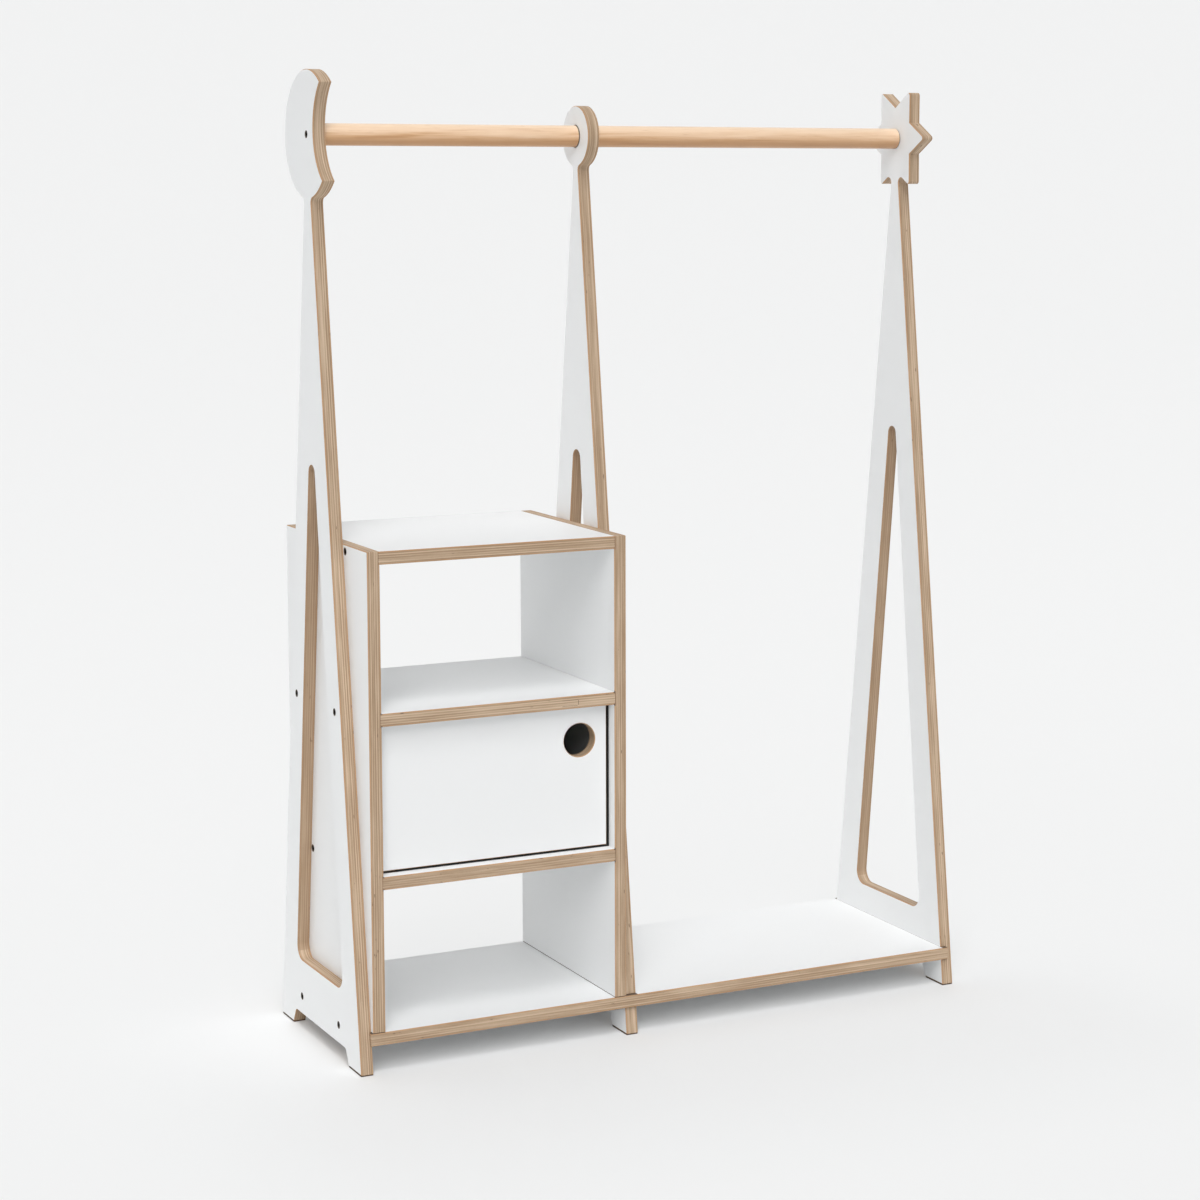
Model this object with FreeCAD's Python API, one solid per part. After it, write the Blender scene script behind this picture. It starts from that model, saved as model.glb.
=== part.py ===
import FreeCAD, Part
import math
import os

# Kids wardrobe of white-faced birch plywood: three A-shaped frames with a moon, a ring and a star on top,
# a round hanging rail, a long base shelf and a shelf unit with one small door.
# Millimetres. X runs along the rail to the right, -Y is the front, Z is up, the floor is Z = 0.
# The origin is on the floor under the middle of the wardrobe.

V = FreeCAD.Vector
ALONG_X = V(1, 0, 0)
ALONG_Y = V(0, 1, 0)
ALONG_Z = V(0, 0, 1)

# Boards and their joints
board = 19.0
edge_ease = 1.0
groove_fit = 0.25
shelf_groove = 2.0
left_housing = 3.0
right_housing = 10.0
lap_fit = 0.3

# Main layout
depth = 340.0
unit_inner_width = 365.0
bay_width = 540.0
rail_height = 1336.0
base_clear = 42.0
bottom_clear = 208.0
door_clear = 217.0
top_clear = 212.5

# Frames
neck_width = 29.0
neck_drop = 100.0
leg_width_top = 50.0
leg_width_bottom = 58.0
cutout_bottom = 108.0
moon_cutout_drop = 473.5
ring_cutout_drop = 470.0
star_cutout_drop = 457.5
cutout_corner_radius = 20.0
foot_length = 51.0
foot_lean = 12.0
arch_height = 24.0
arch_corner_radius = 8.0
pad_thickness = 2.0
pad_corner = 2.0
neck_fillet = 8.0
head_overlap = 8.0

# Heads, all centred on the rail
moon_radius = 92.0
moon_bite_radius = 88.0
moon_bite_reach = 115.0
moon_bite_rise = 6.0
moon_tip_radius = 1.5
ring_radius = 45.0
star_tip_reach = 86.0
star_notch_reach = 49.0
star_points = 6
star_tip_radius = 4.5
star_notch_radius = 0.0

# Hanging rail
rail_diameter = 32.0
rail_hole_fit = 1.0

# Screws, sunk below the boards' faces; their shanks and heads are plain bars with flats
screw_head_diameter = 9.0
screw_head_length = 3.5
screw_diameter = 5.0
screw_sink = 2.5
screw_fit = 0.05
head_fit = 0.3
shank_sides = 8
head_sides = 12
board_screw_length = 50.0
long_screw_length = 70.0
rail_screw_length = 60.0
base_screw_offset = 79.0
upper_screw_offset = 81.0
lower_screw_offset = 74.0
top_screw_offset = 83.0

# Back of the door compartment
back_thickness = 6.0
back_inset = 8.0
back_groove = 5.0

# Door and its pivots
door_recess = 20.0
door_side_gap = 4.0
door_end_gap = 3.0
door_hinge_edge_radius = 4.0
finger_hole_diameter = 50.0
finger_hole_from_edge = 44.0
finger_hole_from_top = 49.0
pivot_diameter = 8.0
pivot_in_door = 14.0
pivot_in_bush = 8.0
pivot_fit = 0.05
pivot_end_fit = 0.2
pivot_seat_fit = 0.01
bush_diameter = 12.0
bush_floor = 2.0
bush_flange_diameter = 15.0
bush_flange_fit = 0.2
bush_fit = 0.05

# Dark foam tape in the gap beside and under the door
seal_thickness = 1.5
seal_width = 14.0
seal_inset = 0.2

# Magnetic catch under the upper shelf
catch_length = 44.0
catch_width = 14.0
catch_height = 12.0
catch_corner = 3.0
catch_from_edge = 60.0
catch_gap = 0.3
magnet_length = 20.0
magnet_width = 5.0
magnet_height = 8.0
strike_length = 28.0
strike_height = 10.0
strike_thickness = 1.5
catch_screw_spacing = 32.0
small_screw_diameter = 3.0
small_screw_head_diameter = 5.6
small_screw_head_length = 0.9
small_screw_sink = 0.1
catch_screw_length = 24.0
strike_screw_length = 14.0

# Places worked out from the layout
front = -depth / 2
back = depth / 2
length = 5 * board + unit_inner_width + bay_width
moon_frame_x = -length / 2
left_panel_x = moon_frame_x + board
unit_x = left_panel_x + board
right_panel_x = unit_x + unit_inner_width
ring_frame_x = right_panel_x + board
bay_x = ring_frame_x + board
star_frame_x = bay_x + bay_width
right_end = star_frame_x + board
base_top = base_clear + board
lower_z = base_top + bottom_clear
lower_top = lower_z + board
upper_z = lower_top + door_clear
upper_top = upper_z + board
top_z = upper_top + top_clear
unit_height = top_z + board - base_top
frame_taper = (depth / 2 - neck_width / 2) / (rail_height - neck_drop - pad_thickness)
cut_past = 5.0
tiny = 0.001


def half_width(z):
    """Half of a frame's width at a height."""
    return depth / 2 - frame_taper * (z - pad_thickness)


def yz(y, z):
    """A point on a frame's plane."""
    return V(0, y, z)


def rounded_face(corners):
    """A face on the frame's plane from (y, z, radius) corners, each rounded by a tangent arc."""
    edges = []
    last_end = None
    first_start = None
    count = len(corners)
    for i in range(count):
        y, z, radius = corners[i]
        here = yz(y, z)
        before = yz(*corners[i - 1][:2]) - here
        after = yz(*corners[(i + 1) % count][:2]) - here
        half_angle = before.getAngle(after) / 2
        before.normalize()
        after.normalize()
        run = radius / math.tan(half_angle)
        start = here + before * run
        end = here + after * run
        if last_end is not None:
            edges.append(Part.LineSegment(last_end, start).toShape())
        else:
            first_start = start
        if radius > 0:
            middle = before + after
            middle.normalize()
            crown = here + middle * (radius / math.sin(half_angle) - radius)
            edges.append(Part.Arc(start, crown, end).toShape())
        last_end = end
    edges.append(Part.LineSegment(last_end, first_start).toShape())
    return Part.Face(Part.Wire(edges))


def block(x, y, z, dx, dy, dz):
    """A plain box from its low corner and its sizes."""
    return Part.makeBox(dx, dy, dz, V(x, y, z))


def eased_block(x, y, z, dx, dy, dz):
    """A board with every edge slightly eased."""
    plain = block(x, y, z, dx, dy, dz)
    return plain.makeChamfer(edge_ease, plain.Edges)


def rod(radius, start, direction, reach):
    """A round bar or hole cutter."""
    return Part.makeCylinder(radius, reach, start, direction)


def bar(sides, radius, start, direction, reach):
    """A straight bar with equal flats, its corners at a radius from the axis."""
    corners = []
    for i in range(sides + 1):
        turn = 2 * math.pi * i / sides
        corners.append(yz(radius * math.cos(turn), radius * math.sin(turn)))
    solid = Part.Face(Part.makePolygon(corners)).extrude(ALONG_X * reach)
    solid.Placement = FreeCAD.Placement(start, FreeCAD.Rotation(ALONG_X, direction))
    return solid


def turned(profile, start, direction):
    """A solid turned from (along, radius) points about an axis through start."""
    points = [V(along, radius, 0) for along, radius in profile]
    face = Part.Face(Part.makePolygon(points + points[:1]))
    solid = face.revolve(V(0, 0, 0), ALONG_X, 360)
    solid.Placement = FreeCAD.Placement(start, FreeCAD.Rotation(ALONG_X, direction))
    return solid


def span(shape, axis):
    """Lowest and highest corner of a shape along an axis."""
    places = [vertex.Point.dot(axis) for vertex in shape.Vertexes]
    return min(places), max(places)


def edges_along(solid, axis, wanted=lambda place: True):
    """The straight edges along an axis that start at a wanted place."""
    found = []
    for edge in solid.Edges:
        low, high = span(edge, axis)
        straight = high - low > tiny and edge.Length - (high - low) < tiny
        if straight and wanted(edge.Vertexes[0].Point):
            found.append(edge)
    return found


def ease_faces(solid, axis):
    """Ease the outlines of a board's two faces across an axis."""
    ends = span(solid, axis)
    rims = []
    for edge in solid.Edges:
        low, high = span(edge, axis)
        if high - low < tiny and min(abs(low - end) for end in ends) < tiny:
            rims.append(edge)
    return solid.makeChamfer(edge_ease, rims)


# Screws

class Screws:
    """A group of equal screws: the surface points they enter at with their directions, and their sizes."""

    def __init__(self, entries, reach):
        self.entries = entries
        self.reach = reach
        self.sink = screw_sink
        self.radius = screw_diameter / 2
        self.head_radius = screw_head_diameter / 2
        self.head_length = screw_head_length

    def solids(self):
        """The screws themselves."""
        made = []
        for start, direction in self.entries:
            top = start + direction * self.sink
            head = bar(head_sides, self.head_radius, top, direction, self.head_length)
            shank = bar(shank_sides, self.radius, top, direction, self.reach - self.sink)
            made.append(head.fuse(shank))
        return made

    def head_room(self, start, direction, reach):
        """The round hole in which a head is sunk."""
        return rod(self.head_radius + head_fit, start, direction, reach)

    def drill(self, solid):
        """Cut the room for the sunk heads and the shanks out of a board."""
        for start, direction in self.entries:
            head = self.head_room(start - direction * cut_past, direction,
                                  cut_past + self.sink + self.head_length)
            shank = bar(shank_sides, self.radius + screw_fit, start, direction, self.reach + screw_fit)
            for hole in (head, shank):
                if hole.BoundBox.intersect(solid.BoundBox):
                    solid = solid.cut(hole)
        return solid


class SmallScrews(Screws):
    """Screws of the size that holds the catch and its strike."""

    def __init__(self, entries, reach):
        super().__init__(entries, reach)
        self.sink = small_screw_sink
        self.radius = small_screw_diameter / 2
        self.head_radius = small_screw_head_diameter / 2
        self.head_length = small_screw_head_length

    def head_room(self, start, direction, reach):
        """The hole in which a head is sunk, with the head's own flats."""
        return bar(head_sides, self.head_radius + head_fit, start, direction, reach)


def screws_from_both_sides(left_x, right_x, offset, z, reach):
    """Screws in from the left and the right, front and back, at one height."""
    entries = []
    for y in (-offset, offset):
        entries.append((V(left_x, y, z), ALONG_X))
        entries.append((V(right_x, y, z), -ALONG_X))
    return Screws(entries, reach)


rail_screws = Screws(
    [(V(moon_frame_x, 0, rail_height), ALONG_X), (V(right_end, 0, rail_height), -ALONG_X)], rail_screw_length)
base_screws = screws_from_both_sides(
    moon_frame_x, right_end, base_screw_offset, base_clear + board / 2, board_screw_length)
upper_screws = screws_from_both_sides(
    moon_frame_x, bay_x, upper_screw_offset, upper_z + board / 2, long_screw_length)
lower_screws = screws_from_both_sides(
    left_panel_x, ring_frame_x, lower_screw_offset, lower_z + board / 2, board_screw_length)
top_screws = screws_from_both_sides(
    left_panel_x, ring_frame_x, top_screw_offset, top_z + board / 2, board_screw_length)


def drilled(solid, *groups):
    """A board with the holes of several screw groups."""
    for group in groups:
        solid = group.drill(solid)
    return solid


# Frames

def leg_face(neck_top):
    """The frame's lower body: two feet, the arch between them and the taper up to the neck."""
    sole = pad_thickness
    inner = depth / 2 - foot_length
    arch = inner - foot_lean
    top = half_width(neck_top)
    return rounded_face([
        (front, sole, 0),
        (-inner, sole, 0),
        (-arch, arch_height, arch_corner_radius),
        (arch, arch_height, arch_corner_radius),
        (inner, sole, 0),
        (back, sole, 0),
        (top, neck_top, 0),
        (-top, neck_top, 0),
    ])


def cutout_face(cutout_drop):
    """The long triangle between the legs, with a round apex as wide as the legs leave it."""
    cutout_top = rail_height - cutout_drop
    low = half_width(cutout_bottom) - leg_width_bottom
    high = half_width(cutout_top) - leg_width_top
    slope = (low - high) / (cutout_top - cutout_bottom)
    apex_radius = high / (math.hypot(1, slope) - slope)
    apex = cutout_bottom + low / slope
    return rounded_face([
        (-low, cutout_bottom, cutout_corner_radius),
        (low, cutout_bottom, cutout_corner_radius),
        (0, apex, apex_radius),
    ])


def disc_face(radius, y, z):
    """A round face on the frame's plane."""
    return Part.Face(Part.Wire(Part.makeCircle(radius, yz(y, z), ALONG_X)))


def moon_head():
    """A fat crescent, open to the front."""
    disc = disc_face(moon_radius, 0, rail_height).extrude(ALONG_X * board)
    bite = disc_face(moon_bite_radius, -moon_bite_reach, rail_height + moon_bite_rise)
    crescent = disc.cut(bite.extrude(ALONG_X * board))

    def on_both_circles(place):
        from_disc = math.hypot(place.y, place.z - rail_height)
        from_bite = math.hypot(place.y + moon_bite_reach, place.z - rail_height - moon_bite_rise)
        return abs(from_disc - moon_radius) < tiny and abs(from_bite - moon_bite_radius) < tiny

    return crescent.makeFillet(moon_tip_radius, edges_along(crescent, ALONG_X, on_both_circles))


def ring_head():
    """A round disc, bored later for the rail."""
    return disc_face(ring_radius, 0, rail_height).extrude(ALONG_X * board)


def star_head():
    """A star with one point to the front and one to the back."""
    corners = []
    for i in range(2 * star_points):
        turn = math.pi * i / star_points
        reach, radius = (star_tip_reach, star_tip_radius)
        if i % 2:
            reach, radius = (star_notch_reach, star_notch_radius)
        corners.append((reach * math.cos(turn), rail_height + reach * math.sin(turn), radius))
    return rounded_face(corners).extrude(ALONG_X * board)


def frame(x, head, head_reach, cutout_drop):
    """A frame with its head, cut-out, softened neck and eased outlines, at its place."""
    neck_top = rail_height - head_reach + head_overlap
    solid = leg_face(neck_top).extrude(ALONG_X * board).fuse(head).removeSplitter()
    head_foot = rail_height - head_reach
    neck = edges_along(
        solid, ALONG_X, lambda place: abs(place.y) < neck_width and abs(place.z - head_foot) < head_overlap)
    solid = solid.makeFillet(neck_fillet, neck)
    solid = solid.cut(cutout_face(cutout_drop).extrude(ALONG_X * board))
    solid = ease_faces(solid, ALONG_X)
    solid.translate(V(x, 0, 0))
    return solid


def housing(x, reach):
    """The groove that takes an end of the base shelf, open at the front and the back."""
    return block(x, front - cut_past, base_clear - groove_fit,
                 reach, depth + 2 * cut_past, board + 2 * groove_fit)


def moon_frame():
    """Left frame."""
    solid = frame(moon_frame_x, moon_head(), moon_radius, moon_cutout_drop)
    solid = solid.cut(housing(left_panel_x - left_housing, left_housing + cut_past))
    return drilled(solid, rail_screws, base_screws, upper_screws)


def ring_frame():
    """Middle frame, slotted from the front for the base shelf."""
    solid = frame(ring_frame_x, ring_head(), ring_radius, ring_cutout_drop)
    rail_hole = rod(rail_diameter / 2 + rail_hole_fit, V(ring_frame_x - cut_past, 0, rail_height),
                    ALONG_X, board + 2 * cut_past)
    slot = block(ring_frame_x - cut_past, front - cut_past, base_clear - lap_fit,
                 board + 2 * cut_past, depth / 2 + cut_past + lap_fit, board + 2 * lap_fit)
    return drilled(solid.cut(rail_hole).cut(slot), upper_screws)


def star_frame():
    """Right frame."""
    solid = frame(star_frame_x, star_head(), star_notch_reach, star_cutout_drop)
    solid = solid.cut(housing(star_frame_x - cut_past, right_housing + cut_past))
    return drilled(solid, rail_screws, base_screws)


def foot_pad(x, side):
    """A felt pad under one foot; side is -1 at the front and 1 at the back."""
    low = back - foot_length
    if side < 0:
        low = front
    pad = block(x, low, 0, board, foot_length, pad_thickness)
    return pad.makeChamfer(pad_corner, edges_along(pad, ALONG_Z))


# Rail and shelves

def hanging_rail():
    """The rail, held between the moon and the star."""
    rail = rod(rail_diameter / 2, V(left_panel_x, 0, rail_height), ALONG_X, star_frame_x - left_panel_x)
    return drilled(rail, rail_screws)


def base_shelf():
    """The long base board, slotted from the back for the middle frame."""
    start = left_panel_x - left_housing + groove_fit
    end = star_frame_x + right_housing - groove_fit
    shelf = eased_block(start, front, base_clear, end - start, depth, board)
    slot = block(ring_frame_x - lap_fit, -lap_fit, base_clear - cut_past,
                 board + 2 * lap_fit, depth / 2 + cut_past, board + 2 * cut_past)
    return drilled(shelf.cut(slot), base_screws)


def unit_board(z):
    """A board between the unit's sides, with its ends in their grooves."""
    start = unit_x - shelf_groove + groove_fit
    reach = unit_inner_width + 2 * (shelf_groove - groove_fit)
    return eased_block(start, front, z, reach, depth, board)


def unit_side(x, inner_x):
    """A side of the unit; inner_x is where its inner face is."""
    panel = eased_block(x, front, base_top, board, depth, unit_height)
    for z in (lower_z, upper_z, top_z):
        groove = block(inner_x - shelf_groove, front - cut_past, z - groove_fit,
                       2 * shelf_groove, depth + 2 * cut_past, board + 2 * groove_fit)
        panel = panel.cut(groove)
    panel = panel.cut(back_groove_cutter(inner_x - back_groove, 2 * back_groove))
    return drilled(panel, upper_screws, lower_screws, top_screws)


def back_groove_cutter(x, reach):
    """The groove for the back panel, over its whole height."""
    return block(x, back_y() - groove_fit, lower_top - back_groove,
                 reach, back_thickness + 2 * groove_fit, door_clear + 2 * back_groove)


def back_y():
    """The front face of the back panel."""
    return back - back_inset - back_thickness


def unit_back_panel():
    """Thin board that closes the door compartment at the back."""
    reach = back_groove - groove_fit
    return block(unit_x - reach, back_y(), lower_top - reach,
                 unit_inner_width + 2 * reach, back_thickness, door_clear + 2 * reach)


def bush_bore(z, direction):
    """The blind hole for a pivot bush in a shelf."""
    return rod(bush_diameter / 2 + bush_fit, V(pivot_x(), pivot_y(), z), direction,
               pivot_in_bush + pivot_end_fit + bush_floor)


def upper_shelf():
    """Shelf over the door: carries the upper bush, the catch and the back panel's top."""
    shelf = unit_board(upper_z)
    shelf = shelf.cut(back_groove_cutter(unit_x - shelf_groove, unit_inner_width + 2 * shelf_groove))
    shelf = shelf.cut(bush_bore(upper_z, ALONG_Z))
    return drilled(shelf, upper_screws, catch_screws)


def lower_shelf():
    """Shelf under the door: carries the lower bush and the back panel's foot."""
    shelf = unit_board(lower_z)
    shelf = shelf.cut(back_groove_cutter(unit_x - shelf_groove, unit_inner_width + 2 * shelf_groove))
    shelf = shelf.cut(bush_bore(lower_top, -ALONG_Z))
    return drilled(shelf, lower_screws)


def unit_top():
    """Top board of the unit."""
    return drilled(unit_board(top_z), top_screws)


# Door

def door_left():
    """The door's hinge edge."""
    return unit_x + door_side_gap


def door_right():
    """The door's free edge."""
    return right_panel_x - door_side_gap


def door_front():
    """The door's front face."""
    return front + door_recess


def pivot_x():
    """Place of the pivot axis along X."""
    return door_left() + board / 2


def pivot_y():
    """Place of the pivot axis along Y."""
    return door_front() + board / 2


def door():
    """Inset door with a finger hole, a rounded hinge edge and two pivot holes."""
    low = lower_top + door_end_gap
    high = upper_z - door_end_gap
    panel = block(door_left(), door_front(), low, door_right() - door_left(), board, high - low)
    hinge_edges = edges_along(panel, ALONG_Z, lambda place: place.x < pivot_x())
    panel = panel.makeFillet(door_hinge_edge_radius, hinge_edges)
    hole = rod(finger_hole_diameter / 2,
               V(door_right() - finger_hole_from_edge, door_front() - cut_past, high - finger_hole_from_top),
               ALONG_Y, board + 2 * cut_past)
    panel = ease_faces(panel.cut(hole), ALONG_Y)
    for z, direction in ((low, ALONG_Z), (high, -ALONG_Z)):
        panel = panel.cut(rod(pivot_diameter / 2 + pivot_seat_fit, V(pivot_x(), pivot_y(), z),
                              direction, pivot_in_door))
    return drilled(panel, strike_screw)


def pivot_pin(z, direction):
    """A steel pin in the door's end; z is the face of the shelf it points to."""
    above_shelf = pivot_in_door + door_end_gap
    start = V(pivot_x(), pivot_y(), z) - direction * above_shelf
    return rod(pivot_diameter / 2, start, direction, above_shelf + pivot_in_bush)


def pivot_bush(z, direction):
    """A flanged bush, pushed into a shelf; its flange fills the gap beside the door."""
    flange = door_end_gap - bush_flange_fit
    bore = pivot_diameter / 2 + pivot_fit
    bore_end = pivot_in_bush + pivot_end_fit
    deep = bore_end + bush_floor
    profile = [
        (-flange, bore),
        (-flange, bush_flange_diameter / 2),
        (0, bush_flange_diameter / 2),
        (0, bush_diameter / 2),
        (deep, bush_diameter / 2),
        (deep, 0),
        (bore_end, 0),
        (bore_end, bore),
    ]
    return turned(profile, V(pivot_x(), pivot_y(), z), direction)


def door_seals():
    """Foam tape on the right side and on the lower shelf, which darkens the gap round the door."""
    y = door_front() + seal_inset
    side = block(right_panel_x - seal_thickness, y, lower_top, seal_thickness, seal_width, door_clear)
    start = pivot_x() + bush_flange_diameter
    foot = block(start, y, lower_top, right_panel_x - seal_thickness - start, seal_width, seal_thickness)
    return Part.makeCompound([side, foot])


# Catch

def catch_x():
    """Middle of the catch along X."""
    return door_right() - catch_from_edge


def catch_front():
    """Front face of the catch, just clear of the strike."""
    return door_front() + board + strike_thickness + catch_gap


def strike_z():
    """Mid-height of the magnet and of the strike on the door."""
    return upper_z - catch_height / 2


catch_screws = SmallScrews(
    [(V(catch_x() + side * catch_screw_spacing / 2, catch_front() + catch_width / 2, upper_z - catch_height),
      ALONG_Z) for side in (-1, 1)],
    catch_screw_length)
strike_screw = SmallScrews(
    [(V(catch_x(), catch_front() - catch_gap, strike_z()), -ALONG_Y)], strike_screw_length)


def catch_magnet():
    """The magnet in the catch's front face."""
    return block(catch_x() - magnet_length / 2, catch_front(), strike_z() - magnet_height / 2,
                 magnet_length, magnet_width, magnet_height)


def door_catch():
    """The catch's housing, with the magnet's pocket open to the door."""
    body = block(catch_x() - catch_length / 2, catch_front(), upper_z - catch_height,
                 catch_length, catch_width, catch_height)
    body = body.makeChamfer(catch_corner, edges_along(body, ALONG_Z))
    pocket = block(catch_x() - magnet_length / 2 - groove_fit, catch_front() - cut_past,
                   strike_z() - magnet_height / 2 - groove_fit,
                   magnet_length + 2 * groove_fit, magnet_width + cut_past, magnet_height + 2 * groove_fit)
    return drilled(body.cut(pocket), catch_screws)


def door_strike():
    """Steel plate on the back of the door, opposite the magnet."""
    plate = block(catch_x() - strike_length / 2, catch_front() - catch_gap - strike_thickness,
                  strike_z() - strike_height / 2, strike_length, strike_thickness, strike_height)
    return drilled(plate, strike_screw)


nodes = {
    "moon_frame": moon_frame(),
    "ring_frame": ring_frame(),
    "star_frame": star_frame(),
    "hanging_rail": hanging_rail(),
    "base_shelf": base_shelf(),
    "unit_left_panel": unit_side(left_panel_x, unit_x),
    "unit_right_panel": unit_side(right_panel_x, right_panel_x),
    "unit_top": unit_top(),
    "upper_shelf": upper_shelf(),
    "lower_shelf": lower_shelf(),
    "unit_back_panel": unit_back_panel(),
    "door": door(),
    "pivot_pins": Part.makeCompound([pivot_pin(upper_z, ALONG_Z), pivot_pin(lower_top, -ALONG_Z)]),
    "pivot_bushes": Part.makeCompound([pivot_bush(upper_z, ALONG_Z), pivot_bush(lower_top, -ALONG_Z)]),
    "door_seals": door_seals(),
    "door_catch": door_catch(),
    "catch_magnet": catch_magnet(),
    "door_strike": door_strike(),
}
for frame_name, frame_x in (("moon", moon_frame_x), ("ring", ring_frame_x), ("star", star_frame_x)):
    for side_name, side in (("front", -1), ("back", 1)):
        nodes[frame_name + "_" + side_name + "_foot_pad"] = foot_pad(frame_x, side)
for screw_name, group in (
    ("rail_screws", rail_screws),
    ("base_shelf_screws", base_screws),
    ("upper_shelf_screws", upper_screws),
    ("lower_shelf_screws", lower_screws),
    ("unit_top_screws", top_screws),
    ("catch_screws", catch_screws),
    ("strike_screw", strike_screw),
):
    nodes[screw_name] = Part.makeCompound(group.solids())

os.makedirs("parts", exist_ok=True)
for node_name, shape in nodes.items():
    shape.exportStep("parts/" + node_name + ".step")
    print(node_name, len(shape.Solids), round(shape.Volume), shape.isValid())
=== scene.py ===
import logging
import math
from dataclasses import dataclass, replace
from enum import Enum
from typing import Callable

import bmesh
import bpy
from mathutils import Matrix, Vector


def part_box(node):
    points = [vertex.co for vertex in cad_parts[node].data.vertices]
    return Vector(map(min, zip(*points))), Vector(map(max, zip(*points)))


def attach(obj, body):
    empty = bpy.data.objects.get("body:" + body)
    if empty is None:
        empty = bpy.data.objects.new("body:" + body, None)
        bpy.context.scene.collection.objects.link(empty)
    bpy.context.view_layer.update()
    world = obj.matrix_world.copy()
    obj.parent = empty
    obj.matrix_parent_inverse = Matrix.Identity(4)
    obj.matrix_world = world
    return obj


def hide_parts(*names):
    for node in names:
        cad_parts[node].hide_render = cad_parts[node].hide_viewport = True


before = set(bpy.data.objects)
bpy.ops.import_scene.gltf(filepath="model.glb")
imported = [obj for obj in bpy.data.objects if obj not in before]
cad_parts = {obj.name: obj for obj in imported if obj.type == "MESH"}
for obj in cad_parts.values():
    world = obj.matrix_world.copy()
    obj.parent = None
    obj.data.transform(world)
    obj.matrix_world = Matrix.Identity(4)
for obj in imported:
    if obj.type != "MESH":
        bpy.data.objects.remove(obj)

# Looks of the kids wardrobe: white-faced plywood boards, a lacquered wooden rail, dark screws and felt feet.
# The boards are the solids of the part, dressed by axis: white faces and layered edges.
# The rail, the screws and the felt pads are modelled here in their place. All sizes are in metres.

LOG = logging.getLogger("wardrobe")
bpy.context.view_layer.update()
Triple = tuple[float, float, float]
Colour = Triple
Point = Triple
Span = tuple[float, float]
Names = tuple[str, ...]
SCREW_GROUPS: Names = (
    "rail_screws", "base_shelf_screws", "upper_shelf_screws", "lower_shelf_screws", "unit_top_screws")
CARCASS = "carcass"
# Dark brown of the board and rail marks: painted shade in creases, groove ends, screw holes and the door's
# gaps, and the real seam of the plug's outline.
SEAM_AND_SHADE: Colour = (0.110, 0.072, 0.044)
HALF = 0.5

# Sockets of the colour mix node
MIX_START, MIX_END, MIX_RESULT = 6, 7, 2

# Tolerances for picking by place, for merging doubles and for telling one row of screws from two
NEAR = 1e-5
MERGE = 1e-6
SAME_ROW = 1e-4


class Axis(Enum):
    """The way a board's thickness runs."""

    X = 0
    Y = 1
    Z = 2


class Element(Enum):
    """What a pick selects in edit mode."""

    EDGE = "EDGE"
    FACE = "FACE"


def shaded(colour: Colour, share: float) -> Colour:
    """A colour made darker."""
    return tuple(part * share for part in colour)


# Shader writing

class Field:
    """A number that varies over a surface; arithmetic on it adds Math nodes."""

    def __init__(self, shader: "Wiring", socket: bpy.types.NodeSocket) -> None:
        """Wrap a socket.

        Args:
            shader: The wiring whose tree holds the socket.
            socket: An output socket that carries one number.
        """
        self.shader = shader
        self.socket = socket

    def __add__(self, other: "Field | float") -> "Field":
        """Sum."""
        return self.shader.math("ADD", self, other)

    __radd__ = __add__

    def __sub__(self, other: "Field | float") -> "Field":
        """Difference."""
        return self.shader.math("SUBTRACT", self, other)

    def __rsub__(self, other: float) -> "Field":
        """Difference from a number."""
        return self.shader.math("SUBTRACT", other, self)

    def __mul__(self, other: "Field | float") -> "Field":
        """Product."""
        return self.shader.math("MULTIPLY", self, other)

    __rmul__ = __mul__

    def __truediv__(self, other: "Field | float") -> "Field":
        """Quotient."""
        return self.shader.math("DIVIDE", self, other)

    def __abs__(self) -> "Field":
        """Size without sign."""
        return self.shader.math("ABSOLUTE", self)

    def floor(self) -> "Field":
        """Whole part."""
        return self.shader.math("FLOOR", self)

    def fraction(self) -> "Field":
        """Part after the point."""
        return self.shader.math("FRACT", self)

    def above(self, limit: float) -> "Field":
        """1 where the number is over a limit, else 0."""
        return self.shader.math("GREATER_THAN", self, limit)

    def least(self, other: "Field | float") -> "Field":
        """The smaller of two numbers."""
        return self.shader.math("MINIMUM", self, other)

    def rise(self, low: float, high: float) -> "Field":
        """Smooth step from 0 at low to 1 at high.

        Args:
            low: Value at which the step starts.
            high: Value at which the step is complete.

        Returns:
            The stepped field.
        """
        made = self.shader.node(
            "MapRange", {"interpolation_type": "SMOOTHSTEP"},
            {"Value": self, "From Min": low, "From Max": high, "To Min": 0.0, "To Max": 1.0})
        return Field(self.shader, made.outputs["Result"])


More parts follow.
